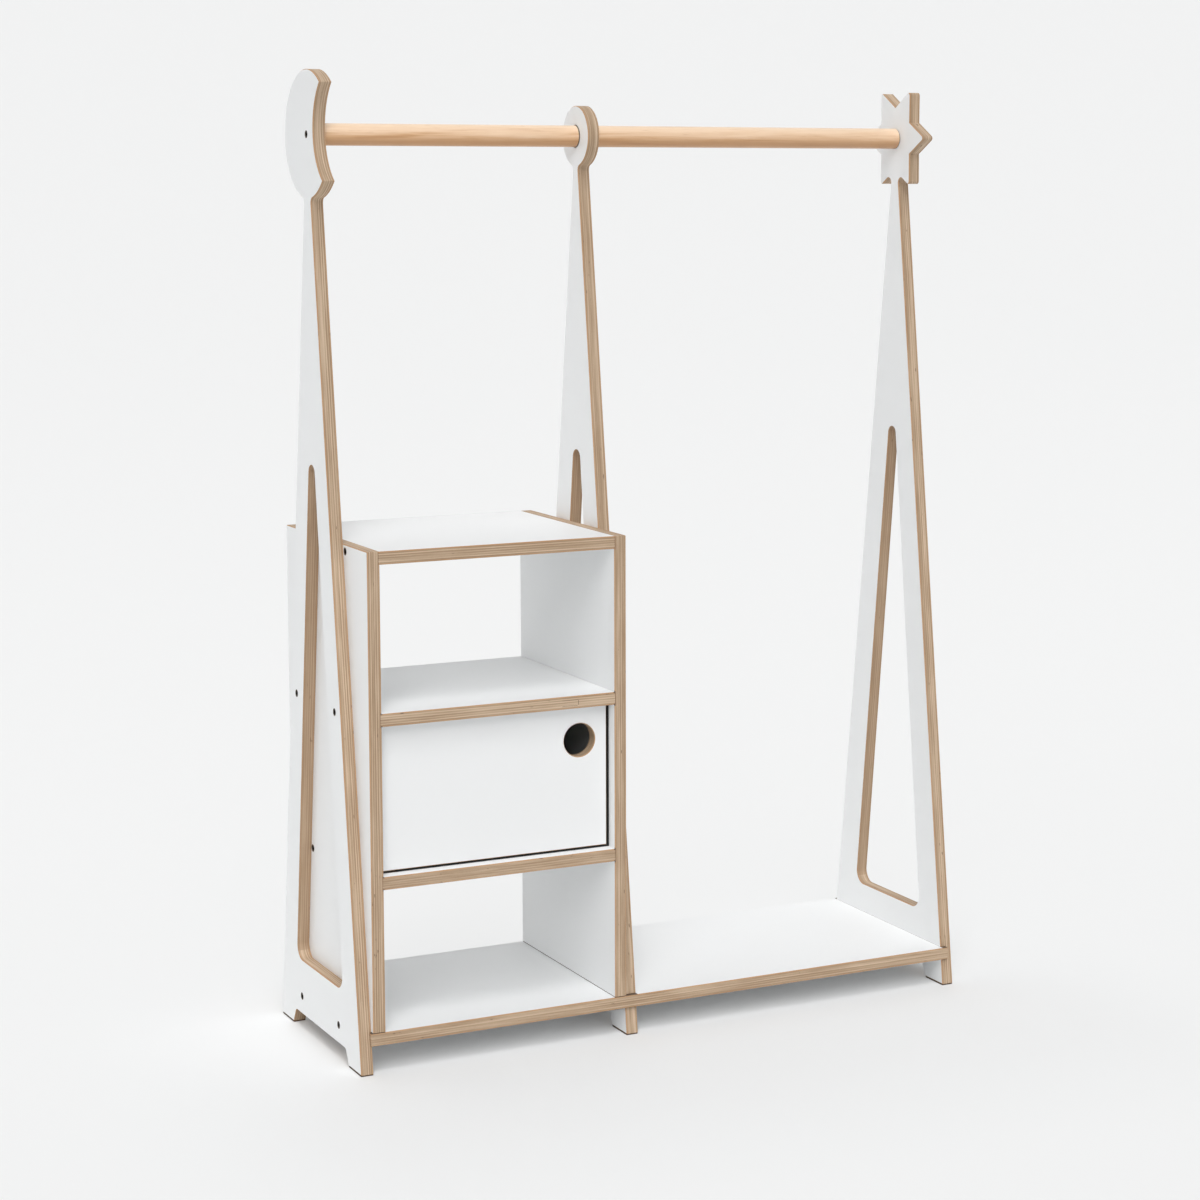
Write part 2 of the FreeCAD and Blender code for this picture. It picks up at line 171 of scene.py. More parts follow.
class Wiring:
    """Nodes and links of one node tree."""

    def __init__(self, tree: bpy.types.NodeTree) -> None:
        """Start with an empty tree.

        Args:
            tree: The tree of a material or of the room.
        """
        self.tree = tree
        self.tree.nodes.clear()

    def node(self, kind: str, settings: dict[str, object] | None = None,
             inputs: dict[str | int, object] | None = None) -> bpy.types.Node:
        """Add a node.

        Args:
            kind: The node's type after "ShaderNode".
            settings: Its own properties, set first.
            inputs: Values or links of its sockets, by name or number.

        Returns:
            The new node.
        """
        made = self.tree.nodes.new("ShaderNode" + kind)
        for key, value in (settings or {}).items():
            setattr(made, key, value)
        for key, value in (inputs or {}).items():
            self.feed(made.inputs[key], value)
        return made

    def feed(self, socket: bpy.types.NodeSocket, value: object) -> None:
        """Set or link a socket.

        Args:
            socket: The input socket.
            value: A Field, an output socket, a number or a tuple; a colour gets its alpha here.
        """
        given = value.socket if isinstance(value, Field) else value
        if isinstance(given, bpy.types.NodeSocket):
            self.tree.links.new(given, socket)
        else:
            socket.default_value = (*given, 1.0) if socket.type == "RGBA" else given

    def math(self, operation: str, *terms: "Field | float") -> Field:
        """Add a Math node and give its result as a field."""
        made = self.node("Math", {"operation": operation}, dict(enumerate(terms)))
        return Field(self, made.outputs[0])

    def looked_at(self) -> Field:
        """What the camera sees, straight, mirrored or through something clear.

        Returns:
            1 for that, and 0 for light on its way.
        """
        path = self.node("LightPath")
        names = ("Is Camera Ray", "Is Glossy Ray", "Is Transmission Ray")
        straight, mirrored, through = (Field(self, path.outputs[name]) for name in names)
        return self.math("MAXIMUM", self.math("MAXIMUM", straight, mirrored), through)


class Shader(Wiring):
    """One material's node tree, with the steps that the finishes share."""

    def __init__(self, name: str) -> None:
        """Start an empty material.

        Args:
            name: The material's name.
        """
        self.material = bpy.data.materials.new(name)
        self.material.use_nodes = True
        super().__init__(self.material.node_tree)
        self.output = self.node("OutputMaterial")
        self.coordinates = self.node("TexCoord")

    def parts(self, vector: bpy.types.NodeSocket) -> tuple[Field, Field, Field]:
        """The three components of a vector socket."""
        made = self.node("SeparateXYZ", None, {0: vector})
        return tuple(Field(self, out) for out in made.outputs)

    def place(self) -> tuple[Field, Field, Field]:
        """Where a point of the surface is."""
        return self.parts(self.coordinates.outputs["Object"])

    def facing(self) -> tuple[Field, Field, Field]:
        """Which way the surface faces there."""
        return self.parts(self.coordinates.outputs["Normal"])

    def spread(self, scale: Triple, shift: float) -> bpy.types.NodeSocket:
        """Object coordinates, scaled by axis and moved along.

        Args:
            scale: Scale along X, Y and Z.
            shift: Offset on all axes, which gives each board its own pattern.

        Returns:
            The vector socket.
        """
        made = self.node("Mapping", None, {
            "Vector": self.coordinates.outputs["Object"], "Scale": scale, "Location": (shift, shift, shift)})
        return made.outputs[0]

    def noise(self, vector: bpy.types.NodeSocket, detail: float, rough: float, twist: float) -> Field:
        """Soft noise at a scale already in the vector.

        Args:
            vector: Scaled coordinates.
            detail: Octaves.
            rough: Strength of the finer octaves.
            twist: Distortion.

        Returns:
            A field from 0 to 1.
        """
        made = self.node("TexNoise", None, {
            "Vector": vector, "Scale": 1.0, "Detail": detail, "Roughness": rough, "Distortion": twist})
        return Field(self, made.outputs[0])

    def chance(self, number: Field) -> Field:
        """A scattered value from 0 to 1 for each number."""
        made = self.node("TexWhiteNoise", {"noise_dimensions": "1D"}, {"W": number})
        return Field(self, made.outputs[0])

    def mix(self, share: "Field | bpy.types.NodeSocket", start: object, end: object) -> bpy.types.NodeSocket:
        """Colour that goes from start to end by a share."""
        made = self.node("Mix", {"data_type": "RGBA"}, {0: share, MIX_START: start, MIX_END: end})
        return made.outputs[MIX_RESULT]

    def bump(self, height: Field, relief: Span) -> bpy.types.NodeSocket:
        """Normal from a height field, with the relief's strength and its depth in metres."""
        made = self.node("Bump", None, {"Strength": relief[0], "Distance": relief[1], "Height": height})
        return made.outputs[0]

    def surface(self, **inputs: object) -> bpy.types.Material:
        """End the tree in a principled surface.

        Args:
            **inputs: Socket values by name, with underscores for spaces.

        Returns:
            The finished material.
        """
        named = {key.replace("_", " "): value for key, value in inputs.items()}
        made = self.node("BsdfPrincipled", None, named)
        self.tree.links.new(made.outputs[0], self.output.inputs["Surface"])
        return self.material


# Finishes

@dataclass(frozen=True)
class Pattern:
    """A noise pattern: scale by axis, octaves, strength of the finer ones, twist and place."""

    scale: Triple
    detail: float = 2.0
    rough: float = 0.5
    twist: float = 0.0
    shift: float = 0.0

    def on(self, shader: Shader) -> Field:
        """The pattern as a field from 0 to 1."""
        return shader.noise(shader.spread(self.scale, self.shift), self.detail, self.rough, self.twist)


@dataclass(frozen=True)
class ShadeAndSeamBox:
    """A box in which a surface is painted dark: painted shade in a crease, at a groove's end or in the door's
    gaps, and the real seam of a plug's outline.
    """

    low: Point
    high: Point

    def share(self, shader: Shader) -> Field:
        """1 inside the box, else 0."""
        x, y, z = (at.above(a) * (1 - at.above(b)) for at, a, b in zip(shader.place(), self.low, self.high))
        return x * y * z


@dataclass(frozen=True)
class HoleShadeRing:
    """A ring of painted shade round a screw hole, on a board's face and at the top of the hole's wall."""

    middle: Point
    radius: float
    reach: float

    def share(self, shader: Shader) -> Field:
        """1 within the rim, else 0."""
        x, y, z = (part - at for part, at in zip(shader.place(), self.middle))
        return (1 - (y * y + z * z).above(self.radius ** 2)) * (1 - abs(x).above(self.reach))


Mark = ShadeAndSeamBox | HoleShadeRing


@dataclass(frozen=True)
class CutOutShade:
    """Painted shade on the walls inside an A-shaped frame, which leaves them darker than the outer edges."""

    half_foot: float = 0.170
    taper: float = 0.1260
    within: float = 0.025
    top: float = 0.95
    upward: float = 0.5
    strength: float = 0.5

    def share(self, shader: Shader) -> Field:
        """How far the walls get painted shade: those that face up stay pale.

        Args:
            shader: The shader of the frame.

        Returns:
            The field.
        """
        place = shader.place()
        upright = 1 - shader.facing()[2].above(self.upward)
        reach = self.half_foot - self.taper * place[2] - abs(place[1])
        return reach.above(self.within) * (1 - place[2].above(self.top)) * upright * self.strength


@dataclass(frozen=True)
class LaminatedPly:
    """Plywood with white laminate on both faces and bare, lacquered, layered edges.

    The first scale of each pattern goes across the thickness, the second along the board.
    """

    axis: Axis
    low: float
    shift: float
    thickness: float
    plies: int
    joints: tuple[Mark, ...] = ()
    cut_out_shade: CutOutShade | None = None
    laminate: float = 0.0001
    seam_and_shade: Colour = SEAM_AND_SHADE
    white: Colour = (0.868, 0.875, 0.877)
    pale_ply: Colour = (0.690, 0.535, 0.385)
    dark_ply: Colour = (0.340, 0.222, 0.132)
    veneer: Colour = (0.470, 0.262, 0.122)
    knot: Colour = (0.120, 0.068, 0.038)
    wander: Pattern = Pattern((90.0, 6.0, 6.0))
    streaks: Pattern = Pattern((360.0, 12.0, 12.0), rough=0.55)
    pores: Pattern = Pattern((900.0, 900.0, 900.0))
    patches: Pattern = Pattern((120.0, 11.0, 11.0), detail=3.0, rough=0.55, twist=0.4)
    fades: Pattern = Pattern((60.0, 7.0, 7.0), detail=1.0, shift=5.0)
    spots: Pattern = Pattern((330.0, 60.0, 60.0), detail=1.0)
    clouds: Pattern = Pattern((3.0, 3.0, 3.0))
    peel: Pattern = Pattern((700.0, 700.0, 700.0), detail=1.0)
    layer_wander: float = 0.10
    glue_width: float = 0.20
    fade_range: Span = (0.30, 0.62)
    veneer_range: Span = (0.35, 0.46)
    knot_range: Span = (0.74, 0.79)
    dark_range: Span = (0.26, 0.92)
    cloud_range: Span = (0.3, 0.7)
    tone_weight: float = 0.22
    streak_weight: float = 0.50
    patch_weight: float = 0.26
    cross_weight: float = 0.05
    fade_weight: float = 0.14
    pore_weight: float = 0.14
    glue_tint: float = 0.25
    veneer_tint: float = 0.65
    veneer_patch: float = 0.35
    knot_tint: float = 0.85
    cloud_tint: float = 0.35
    cloud_shade: float = 0.975
    streak_height: float = 0.6
    glue_height: float = 0.5
    knot_height: float = 0.8
    peel_height: float = 0.06
    face_rough: float = 0.47
    cloud_rough: float = 0.06
    edge_rough: float = 0.10
    streak_rough: float = 0.16
    relief: Span = (0.35, 0.0002)

    def grain(self, shader: Shader, pattern: Pattern) -> Field:
        """A pattern turned to the board's thickness and moved to its own place."""
        turned = tuple(pattern.scale[0 if i == self.axis.value else 1] for i in range(3))
        return replace(pattern, scale=turned, shift=self.shift + pattern.shift).on(shader)

    def edge_wood(self, shader: Shader, depth: Field, streak: Field) -> tuple[bpy.types.NodeSocket, Field]:
        """The layered edge.

        Args:
            shader: The shader of the board.
            depth: Place across the thickness, 0 to 1.
            streak: The fine streaks along the plies.

        Returns:
            Its colour and its height.
        """
        layers = (depth + (self.grain(shader, self.wander) - HALF) * self.layer_wander) * self.plies
        layer = layers.floor()
        within = layers.fraction()
        crossed = (layer * HALF).fraction() * 2
        tone = shader.chance(layer + self.shift)
        glue = 1 - within.least(1 - within).rise(0.0, self.glue_width)
        patch = self.grain(shader, self.patches)
        fade = self.grain(shader, self.fades).rise(*self.fade_range)
        outer = abs(depth - HALF).rise(*self.veneer_range)
        knots = self.grain(shader, self.spots).rise(*self.knot_range)
        share = self.tone_weight * tone + self.streak_weight * streak + self.patch_weight * patch
        share = share + crossed * (self.cross_weight + self.fade_weight * fade)
        share = share + self.pore_weight * self.grain(shader, self.pores)
        wood = shader.mix(share.rise(*self.dark_range), self.pale_ply, self.dark_ply)
        wood = shader.mix(glue * self.glue_tint, wood, self.dark_ply)
        wood = shader.mix(outer * (self.veneer_tint + self.veneer_patch * patch), wood, self.veneer)
        wood = shader.mix(knots * self.knot_tint, wood, self.knot)
        # Painted shade on the walls of a frame's cut-out.
        if self.cut_out_shade:
            wood = shader.mix(self.cut_out_shade.share(shader), wood, self.dark_ply)
        height = self.streak_height * streak - self.glue_height * glue - self.knot_height * knots
        return wood, height

    def material(self, name: str) -> bpy.types.Material:
        """Build the finish.

        Args:
            name: The material's name.

        Returns:
            The material.
        """
        shader = Shader(name)
        depth = (shader.place()[self.axis.value] - self.low) / self.thickness
        edge = (HALF - abs(depth - HALF)).above(self.laminate / self.thickness)
        streak = self.grain(shader, self.streaks)
        wood, wood_height = self.edge_wood(shader, depth, streak)
        cloud = self.grain(shader, self.clouds)
        clouded = shaded(self.white, self.cloud_shade)
        white = shader.mix(cloud.rise(*self.cloud_range) * self.cloud_tint, self.white, clouded)
        height = edge * wood_height + (1 - edge) * self.grain(shader, self.peel) * self.peel_height
        colour = shader.mix(edge, white, wood)
        # Dark marks: painted shade in creases, groove ends, screw holes and the door's gaps, and the plug's
        # real seam.
        for dark_mark in self.joints:
            colour = shader.mix(dark_mark.share(shader), colour, self.seam_and_shade)
        rough = edge * (self.edge_rough + self.streak_rough * streak)
        return shader.surface(
            Base_Color=colour,
            Roughness=rough + self.face_rough + self.cloud_rough * cloud,
            Normal=shader.bump(height, self.relief))


@dataclass(frozen=True)
class RailWood:
    """Clear-lacquered turned wood, its grain along X, paler at the top and darker underneath as painted light
    and shade.
    """

    middle: float
    radius: float
    joints: tuple[ShadeAndSeamBox, ...] = ()
    seam_and_shade: Colour = SEAM_AND_SHADE
    # The pale tone also gives painted light at the top; warm and line also give painted shade underneath.
    pale: Colour = (0.930, 0.695, 0.495)
    warm: Colour = (0.680, 0.395, 0.195)
    line: Colour = (0.500, 0.250, 0.110)
    figures: Pattern = Pattern((5.0, 75.0, 75.0), detail=3.0, rough=0.55, twist=0.8, shift=3.0)
    streaks: Pattern = Pattern((9.0, 330.0, 330.0), detail=3.0, rough=0.6, shift=1.0)
    flecks: Pattern = Pattern((45.0, 1500.0, 1500.0), detail=1.0, shift=7.0)
    painted_shade_top: float = 0.8
    figure_weight: float = 0.70
    streak_weight: float = 0.30
    painted_shade_weight: float = 0.54
    warm_range: Span = (0.38, 1.04)
    fleck_range: Span = (0.64, 0.78)
    fleck_tint: float = 0.40
    line_range: Span = (0.27, 0.44)
    line_tint: float = 0.20
    line_painted_shade: float = 0.5
    under_shade_range: Span = (0.5, 0.95)
    under_shade_tint: float = 0.55
    rough: float = 0.36
    streak_rough: float = 0.14
    shine: float = 0.35
    streak_height: float = 0.6
    fleck_height: Span = (0.6, 0.8)
    relief: Span = (0.25, 0.00015)
    coat: float = 0.5
    coat_rough: float = 0.22
    coat_ior: float = 1.4

    def material(self, name: str) -> bpy.types.Material:
        """Build the finish.

        Args:
            name: The material's name.

        Returns:
            The material.
        """
        shader = Shader(name)
        # Painted light and shade: the wood and its grain lines turn darker towards the bottom.
        top = self.middle + self.painted_shade_top * self.radius
        painted_shade_below = 1 - shader.place()[2].rise(self.middle - self.radius, top)
        figure = self.figures.on(shader)
        streak = self.streaks.on(shader)
        fleck = self.flecks.on(shader)
        share = self.figure_weight * figure + self.streak_weight * streak + self.painted_shade_weight * painted_shade_below
        wood = shader.mix(share.rise(*self.warm_range), self.pale, self.warm)
        wood = shader.mix(fleck.rise(*self.fleck_range) * self.fleck_tint, wood, self.line)
        lines = (figure * streak).rise(*self.line_range)
        wood = shader.mix(lines * (self.line_tint + self.line_painted_shade * painted_shade_below), wood, self.line)
        # More painted shade on the underside.
        wood = shader.mix(painted_shade_below.rise(*self.under_shade_range) * self.under_shade_tint, wood, self.line)
        # Painted shade where the rail goes into the ring and the star.
        for dark_mark in self.joints:
            wood = shader.mix(dark_mark.share(shader), wood, self.seam_and_shade)
        height = streak * self.streak_height - fleck.rise(*self.fleck_height)
        return shader.surface(
            Base_Color=wood, Roughness=self.rough + self.streak_rough * streak,
            Specular_IOR_Level=self.shine,
            Normal=shader.bump(height, self.relief),
            Coat_Weight=self.coat, Coat_Roughness=self.coat_rough, Coat_IOR=self.coat_ior)


@dataclass(frozen=True)
class Felt:
    """Pressed dark felt with matted fibres, also for the near-black foam strips that give the door's gaps
    painted shade.
    """

    dark: Colour = (0.050, 0.027, 0.015)
    light: Colour = (0.120, 0.070, 0.042)
    fibres: Pattern = Pattern((1800.0, 1800.0, 2600.0), detail=4.0, rough=0.7, twist=1.5)
    mats: Pattern = Pattern((260.0, 260.0, 260.0), detail=3.0, shift=4.0)
    fibre_weight: float = 0.6
    mat_weight: float = 0.4
    light_range: Span = (0.3, 0.7)
    rough: float = 0.88
    mat_rough: float = 0.1
    relief: Span = (0.8, 0.0004)

    def material(self, name: str) -> bpy.types.Material:
        """Build the finish.

        Args:
            name: The material's name.

        Returns:
            The material.
        """
        shader = Shader(name)
        fibre = self.fibres.on(shader)
        mat = self.mats.on(shader)
        share = (self.fibre_weight * fibre + self.mat_weight * mat).rise(*self.light_range)
        return shader.surface(
            Base_Color=shader.mix(share, self.dark, self.light),
            Roughness=self.rough + self.mat_rough * mat,
            Normal=shader.bump(fibre, self.relief))


@dataclass(frozen=True)
class CoatedSteel:
    """Steel with a coating or a drawn surface, scratched a little all over."""

    base: Colour
    worn: Colour
    metallic: float
    roughness: float
    grain: Triple = (900.0, 900.0, 900.0)
    shine: float = 0.5
    blotches: Pattern = Pattern((140.0, 140.0, 140.0), shift=6.0)
    worn_range: Span = (0.58, 0.75)
    worn_tint: float = 0.6
    blotch_rough: float = 0.18
    scratch_rough: float = 0.1
    relief: Span = (0.2, 0.0001)

    def material(self, name: str) -> bpy.types.Material:
        """Build the finish.

        Args:
            name: The material's name.

        Returns:
            The material.
        """
        shader = Shader(name)
        scratch = Pattern(self.grain, detail=4.0, rough=0.65, shift=2.0).on(shader)
        blotch = self.blotches.on(shader)
        rough = self.roughness + self.blotch_rough * (blotch - HALF) + self.scratch_rough * (scratch - HALF)
        share = scratch.rise(*self.worn_range) * self.worn_tint
        return shader.surface(
            Base_Color=shader.mix(share, self.base, self.worn),
            Metallic=self.metallic, Roughness=rough, Specular_IOR_Level=self.shine,
            Normal=shader.bump(scratch, self.relief))


@dataclass(frozen=True)
class MouldedPlastic:
    """Moulded plastic with a fine spark-eroded grain."""

    colour: Colour
    grains: Pattern = Pattern((2600.0, 2600.0, 2600.0))
    clouds: Pattern = Pattern((60.0, 60.0, 60.0), shift=3.0)
    cloud_range: Span = (0.3, 0.7)
    cloud_shade: float = 0.93
    rough: float = 0.42
    grain_rough: float = 0.12
    relief: Span = (0.3, 0.00008)

    def material(self, name: str) -> bpy.types.Material:
        """Build the finish.

        Args:
            name: The material's name.

        Returns:
            The material.
        """
        shader = Shader(name)
        grain = self.grains.on(shader)
        share = self.clouds.on(shader).rise(*self.cloud_range)
        return shader.surface(
            Base_Color=shader.mix(share, self.colour, shaded(self.colour, self.cloud_shade)),
            Roughness=self.rough + self.grain_rough * grain,
            Normal=shader.bump(grain, self.relief))


@dataclass(frozen=True)
class Paper:
    """Seamless white studio paper, evenly white to the camera away from the object; clear from behind."""

    colour: Colour = (0.905, 0.910, 0.910)
    seen_floor: Colour = (0.865, 0.868, 0.868)
    seen_wall: Colour = (0.895, 0.900, 0.900)
    clouds: Pattern = Pattern((0.7, 0.7, 0.7))
    cloud_shade: float = 0.99
    floor_share: float = 0.10
    even_share: float = 0.88
    even_height: Span = (0.0, 0.40)
    even_behind: Span = (0.10, 0.40)
    even_before: Span = (0.30, 0.90)
    even_beside: Span = (0.50, 0.90)

    def material(self, name: str) -> bpy.types.Material:
        """Build the finish.

        Args:
            name: The material's name.

        Returns:
            The material.
        """
        shader = Shader(name)
        whole = shader.mix(self.clouds.on(shader), self.colour, shaded(self.colour, self.cloud_shade))
        looked_at = shader.looked_at()
        x, y, z = shader.place()
        near = (1 - z.rise(*self.even_height)) * (1 - y.rise(*self.even_behind))
        near = near * (1 - (0 - y).rise(*self.even_before)) * (1 - abs(x).rise(*self.even_beside))
        even = looked_at * (self.floor_share + (1 - near) * (self.even_share - self.floor_share))
        lit = shader.node("BsdfDiffuse", None, {"Color": shader.mix(looked_at, whole, self.seen_floor)})
        glow = shader.node("Emission", None, {"Color": self.seen_wall, "Strength": 1.0})
        sheet = shader.node("MixShader", None, {0: even, 1: lit.outputs[0], 2: glow.outputs[0]})
        clear = shader.node("BsdfTransparent")
        behind = shader.node("NewGeometry").outputs["Backfacing"]
        seen = shader.node("MixShader", None, {0: behind, 1: sheet.outputs[0], 2: clear.outputs[0]})
        shader.tree.links.new(seen.outputs[0], shader.output.inputs["Surface"])
        return shader.material


# Modelling by hand

class Bench:
    """Edit-mode work on one new piece at a time."""

    @staticmethod
    def clear() -> None:
        """Leave edit mode and deselect everything."""
        if bpy.context.object and bpy.context.object.mode != "OBJECT":
            bpy.ops.object.mode_set(mode="OBJECT")
        bpy.ops.object.select_all(action="DESELECT")

    @staticmethod
    def take(piece: bpy.types.Object) -> None:
        """Make one piece the active and only selected one.

        Args:
            piece: The piece.
        """
        Bench.clear()
        piece.select_set(True)
        bpy.context.view_layer.objects.active = piece

    @staticmethod
    def label(piece: bpy.types.Object, name: str) -> None:
        """Name a piece and its mesh."""
        piece.name = name
        piece.data.name = name

    @staticmethod
    def edit() -> None:
        """Go into edit mode with everything selected."""
        bpy.ops.object.mode_set(mode="EDIT")
        bpy.ops.mesh.select_all(action="SELECT")

    @staticmethod
    def pick(element: Element, wanted: Callable[[Vector], bool]) -> None:
        """Select edges or faces by their middle.

        Args:
            element: What to select.
            wanted: Test on the middle of each, in the piece's own space.
        """
        bpy.ops.mesh.select_mode(type=element.value)
        bpy.ops.mesh.select_all(action="DESELECT")
        mesh = bmesh.from_edit_mesh(bpy.context.object.data)
        for item in mesh.edges if element is Element.EDGE else mesh.faces:
            item.select_set(wanted(sum((v.co for v in item.verts), Vector()) / len(item.verts)))
        mesh.select_flush_mode()
        bmesh.update_edit_mesh(bpy.context.object.data)

    @staticmethod
    def close(name: str, smooth_angle: float) -> bpy.types.Object:
        """Merge doubles, turn the faces out, leave edit mode and apply the place.

        Args:
            name: The piece's name.
            smooth_angle: Edges flatter than this are shaded smooth, in degrees.

        Returns:
            The piece, at the origin.
        """
        bpy.ops.mesh.select_all(action="SELECT")
        bpy.ops.mesh.remove_doubles(threshold=MERGE)
        bpy.ops.mesh.normals_make_consistent(inside=False)
        bpy.ops.object.mode_set(mode="OBJECT")
        bpy.ops.object.transform_apply(location=True, rotation=True, scale=True)
        bpy.ops.object.shade_smooth_by_angle(angle=math.radians(smooth_angle))
        piece = bpy.context.object
        Bench.label(piece, name)
        return piece

    @staticmethod
    def copy(piece: bpy.types.Object, place: Matrix, name: str) -> bpy.types.Object:
        """A copy with its own mesh, moved to a place that is then in its mesh.

        Args:
            piece: The piece to copy.
            place: Where the copy goes.
            name: The copy's name.

        Returns:
            The copy.
        """
        Bench.take(piece)
        bpy.ops.object.duplicate(linked=False)
        made = bpy.context.object
        made.matrix_world = place @ made.matrix_world
        bpy.ops.object.transform_apply(location=True, rotation=True, scale=True)
        Bench.label(made, name)
        return made

    @staticmethod
    def join(pieces: list[bpy.types.Object], name: str) -> bpy.types.Object:
        """Several pieces as one.

        Args:
            pieces: The pieces; the first takes the others in.
            name: The name of the joined piece.

        Returns:
            The joined piece.
        """
        Bench.take(pieces[0])
        for piece in pieces:
            piece.select_set(True)
        bpy.ops.object.join()
        Bench.label(pieces[0], name)
        return pieces[0]


def dress(piece: bpy.types.Object, finish: bpy.types.Material) -> None:
    """Give a piece or a solid its finish.

    Args:
        piece: The piece or the solid.
        finish: Its finish.
    """
    if not piece.material_slots:
        piece.data.materials.append(finish)
    for slot in piece.material_slots:
        slot.material = finish


def place_piece(piece: bpy.types.Object, node: str) -> None:
    """Say what a new piece rides on and hide the solids that it stands for.

    Args:
        piece: The new piece.
        node: The solids it stands for.
    """
    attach(piece, CARCASS)
    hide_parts(node)
    LOG.info("%s rides on %s", piece.name, CARCASS)


def screw_rows(group: str) -> tuple[tuple[float, ...], float]:
    """Where the screws of a group are, read from its box.

    Args:
        group: The solids' node.

    Returns:
        The Y of each row and the height of all.
    """
    low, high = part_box(group)
    radius = min(high.y - low.y, high.z - low.z) / 2
    offset = (high.y - low.y) / 2 - radius
    rows = (-offset, offset) if offset > SAME_ROW else (0.0,)
    return rows, (low.z + high.z) / 2


# Boards

@dataclass
class Boards:
    """The plywood boards of the wardrobe, which are the part's own solids."""

    frames: Names = ("moon_frame", "ring_frame", "star_frame")
    panels: Names = ("unit_left_panel", "unit_right_panel")
    across_y: Names = ("door",)
    across_z: Names = ("base_shelf", "unit_top", "upper_shelf", "lower_shelf")
    thin_across_y: Names = ("unit_back_panel",)
    shelves: Names = ("upper_shelf", "lower_shelf")
    plies: int = 11
    thin_plies: int = 5
    shift_step: float = 13.7
    foot_shade_height: float = 0.0008
    slot_shade_height: float = 0.0006
    past: float = 0.001
    groove_end_shade_size: float = 0.0014
    plug_end: float = -0.1555
    plug_length: float = 0.026
    plug_depths: Span = (0.0060, 0.0144)
    plug_line: float = 0.0004
    hole_shade_radius: float = 0.0057
    face_reach: float = 0.004

    def hole_shades(self, name: str) -> tuple[HoleShadeRing, ...]:
        """Rings of painted shade round the screw holes in the outer face of a frame or a panel.

        Args:
            name: The board.

        Returns:
            A rim for each hole.
        """
        faces = [corner.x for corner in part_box(name)]
        found = []
        for group in SCREW_GROUPS:
            rows, height = screw_rows(group)
            heads = [corner.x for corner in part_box(group)]
            for head, face in zip(heads, faces):
                if abs(head - face) < self.face_reach:
                    found += [HoleShadeRing((face, y, height), self.hole_shade_radius, self.past) for y in rows]
        return tuple(found)

    def groove_end_shades(self, name: str) -> tuple[ShadeAndSeamBox, ...]:
        """Painted shade: dark corners on the front edges of a panel or a shelf, where the shelves' grooves
        end.

        Args:
            name: The board.

        Returns:
            A small box at each corner.
        """
        left, right = self.panels
        inner = {left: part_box(left)[1].x, right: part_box(right)[0].x}
        shelves = [name] if name in self.shelves else self.shelves
        heights = [corner.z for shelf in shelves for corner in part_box(shelf)]
        ends = [inner[name]] if name in inner else list(inner.values())
        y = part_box(name)[0].y
        return tuple(
            ShadeAndSeamBox((x - self.groove_end_shade_size, y - self.past, z - self.groove_end_shade_size),
                      (x + self.groove_end_shade_size, y + self.past, z + self.groove_end_shade_size))
            for x in ends for z in heights)

    def plug(self) -> tuple[ShadeAndSeamBox, ...]:
        """The outline of a repair plug let into the upper shelf's front edge.

        Returns:
            The plug's two sides and its end.
        """
        low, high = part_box("upper_shelf")
        front, back = low.y - self.past, low.y + self.past
        upper, lower = (high.z - depth for depth in self.plug_depths)
        corner = 2 * self.plug_line
        start, end = self.plug_end - self.plug_length, self.plug_end - corner
        sides = tuple(ShadeAndSeamBox((start, front, z - self.plug_line / 2), (end, back, z + self.plug_line / 2))
                      for z in (upper, lower))
        cap = ShadeAndSeamBox((self.plug_end - self.plug_line, front, lower + corner),
                        (self.plug_end + self.plug_line, back, upper - corner))
        return sides + (cap,)

    def door_gap_shade(self) -> tuple[ShadeAndSeamBox, ...]:
        """Painted shade: a dark strip on the lower shelf from the left panel to the start of the near-black
        foam strip.

        Returns:
            The strip.
        """
        low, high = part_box("door_seals")
        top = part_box("lower_shelf")[1].z
        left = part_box("unit_left_panel")[1].x
        return (ShadeAndSeamBox((left, low.y, top - self.past), (low.x, high.y, top + self.past)),)

    def slot_shades(self) -> tuple[ShadeAndSeamBox, ...]:
        """Painted shade: dark lines on the base shelf's edges, at the frames and under the unit's sides.

        Returns:
            A line at the top and the bottom of each stretch.
        """
        low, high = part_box("base_shelf")
        spans = ((low.x - self.past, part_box("unit_left_panel")[1].x),
                 (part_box("unit_right_panel")[0].x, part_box("ring_frame")[1].x),
                 (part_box("star_frame")[0].x, high.x + self.past))
        heights = ((low.z - self.past, low.z + self.slot_shade_height), (high.z - self.slot_shade_height, high.z + self.past))
        return tuple(ShadeAndSeamBox((start, low.y - self.past, bottom), (end, high.y + self.past, top))
                     for start, end in spans for bottom, top in heights)

    def foot(self, name: str) -> tuple[ShadeAndSeamBox, ...]:
        """Painted shade: a dark line at the foot of a panel."""
        low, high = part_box(name)
        return (ShadeAndSeamBox((low.x - self.past, low.y - self.past, low.z - self.past),
                          (high.x + self.past, high.y + self.past, low.z + self.foot_shade_height)),)

    def joints(self, name: str) -> tuple[Mark, ...]:
        """The dark marks of a board: painted shade at the panels' feet, the groove ends, round the screw
        holes, on the base shelf's edges and on the lower shelf before the foam strip, and the plug's real
        seam.

        Args:
            name: The board.

        Returns:
            The marks.
        """
        single = {"upper_shelf": self.plug, "lower_shelf": self.door_gap_shade, "base_shelf": self.slot_shades}
        marks = single[name]() if name in single else ()
        if name in self.panels:
            marks += self.foot(name)
        if name in self.panels + self.shelves:
            marks += self.groove_end_shades(name)
        if name in self.panels + self.frames:
            marks += self.hole_shades(name)
        return marks

